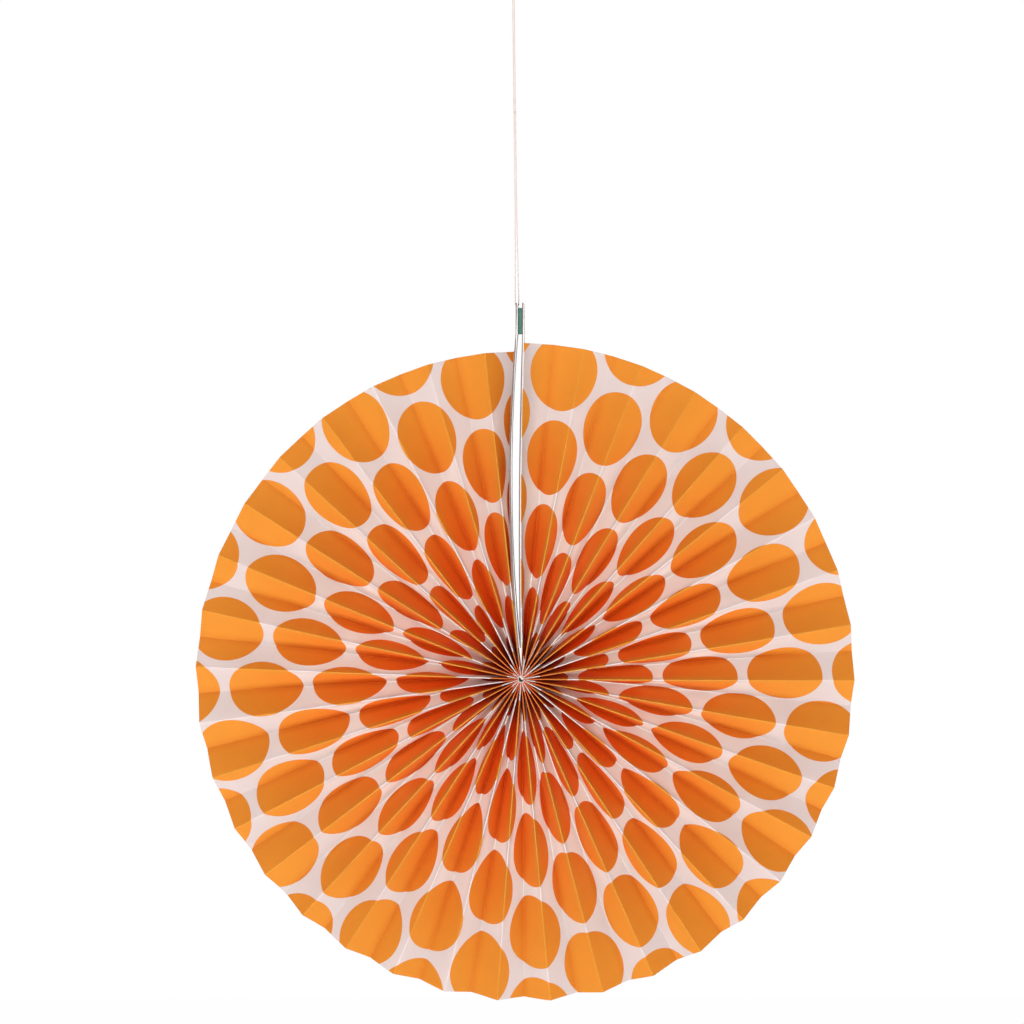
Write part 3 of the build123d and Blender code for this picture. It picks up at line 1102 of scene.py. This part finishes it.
def front_camera():
    right = Vector((cos(CAMERA_TURN), sin(CAMERA_TURN), 0))
    level = Vector((-sin(CAMERA_TURN), cos(CAMERA_TURN), 0)) * cos(CAMERA_TIP)
    ahead = level - Vector((0, 0, sin(CAMERA_TIP)))
    above = right.cross(ahead)
    pose = Matrix((right, above, -ahead)).transposed().to_4x4()
    pose.translation = -(right * CAMERA_LEFT + ahead * CAMERA_FAR - above * CAMERA_ABOVE)
    lens = bpy.data.cameras.new("camera")
    lens.sensor_width, lens.sensor_fit = SENSOR, "HORIZONTAL"
    lens.lens = SENSOR * LENS_PIXELS / PICTURE_PIXELS
    camera = bpy.data.objects.new("camera", lens)
    bpy.context.scene.collection.objects.link(camera)
    camera.matrix_world = hung()[0] @ pose
    return camera


class PAPERFAN_OT_stage(bpy.types.Operator):
    """Sets the pale floor and backdrop, the soft lights and the camera"""

    bl_idname = "paperfan.stage"
    bl_label = "Stage"

    def execute(self, context):
        stage, thread = fan().stage, fan().thread
        floor = -stage.floor_drop
        corners = [(-6, -4, floor), (6, -4, floor), (6, 6, floor), (-6, 6, floor)]
        flat_sheet("floor", corners, white_surface("pale_floor", shade=0.85, seen=0.99))
        level = -thread.drop
        hub = (0, 0, level)

        # Each light's place, what it faces, its width and height, and its power
        lights = {
            "front_light": ((-0.3, -2.3, 0.1), hub, 1.6, 1.6, stage.front_light),
            "left_light": ((-2.0, -1.4, level), hub, 1.2, 1.6, stage.side_light),
            "right_light": ((2.0, -1.4, level), hub, 1.2, 1.6, stage.side_light),
            "low_light": ((0.0, -1.7, -2.3), (0.0, -2.1, -1.2), 3.4, 1.8, stage.low_light),
            "back_light": ((0.0, 1.6, level), hub, 3.0, 3.0, stage.back_light),
        }
        for name, values in lights.items():
            soft_light(name, *values)
        context.scene.world = studio_world(stage.room_light)
        context.scene.camera = front_camera()
        context.scene.view_settings.view_transform = "Standard"
        return {"FINISHED"}


class PAPERFAN_PT_sidebar(bpy.types.Panel):
    """Lists the fan's sizes and its pieces"""

    bl_label = "Paper Fan"
    bl_idname = "PAPERFAN_PT_sidebar"
    bl_space_type = "VIEW_3D"
    bl_region_type = "UI"
    bl_category = "Paper Fan"

    def draw(self, context):
        settings = context.scene.paper_fan
        for group, operators in LISTED.items():
            box = self.layout.box()
            part = getattr(settings, group)
            for name in part.__annotations__:
                box.prop(part, name)
            for operator in operators:
                box.operator(operator.bl_idname)


GROUPS = (
    FanPaperSizes, FanPrintColours, FanSeamSizes, FanThreadSizes, FanStageSizes, PaperFanSettings,
)
PIECES = (
    PAPERFAN_OT_pleated_paper, PAPERFAN_OT_end_cards, PAPERFAN_OT_joining_pad,
    PAPERFAN_OT_hanging_thread, PAPERFAN_OT_hub_tie, PAPERFAN_OT_stage,
)
LISTED = {
    "paper": (PAPERFAN_OT_pleated_paper,),
    "prints": (),
    "seam": (PAPERFAN_OT_end_cards, PAPERFAN_OT_joining_pad),
    "thread": (PAPERFAN_OT_hanging_thread, PAPERFAN_OT_hub_tie),
    "stage": (PAPERFAN_OT_stage,),
}


def register():
    for kind in (*GROUPS, *PIECES, PAPERFAN_PT_sidebar):
        bpy.utils.register_class(kind)
    bpy.types.Scene.paper_fan = PointerProperty(type=PaperFanSettings)


def unregister():
    del bpy.types.Scene.paper_fan
    for kind in reversed((*GROUPS, *PIECES, PAPERFAN_PT_sidebar)):
        bpy.utils.unregister_class(kind)


def main():
    register()
    for piece in PIECES:
        group, name = piece.bl_idname.split(".")
        getattr(getattr(bpy.ops, group), name)()
    boxes = {"cad": CAD_BOX, "visual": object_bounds()}
    boxes = {name: [[float(value) for value in corner] for corner in box] for name, box in boxes.items()}


if __name__ == "__main__":
    main()
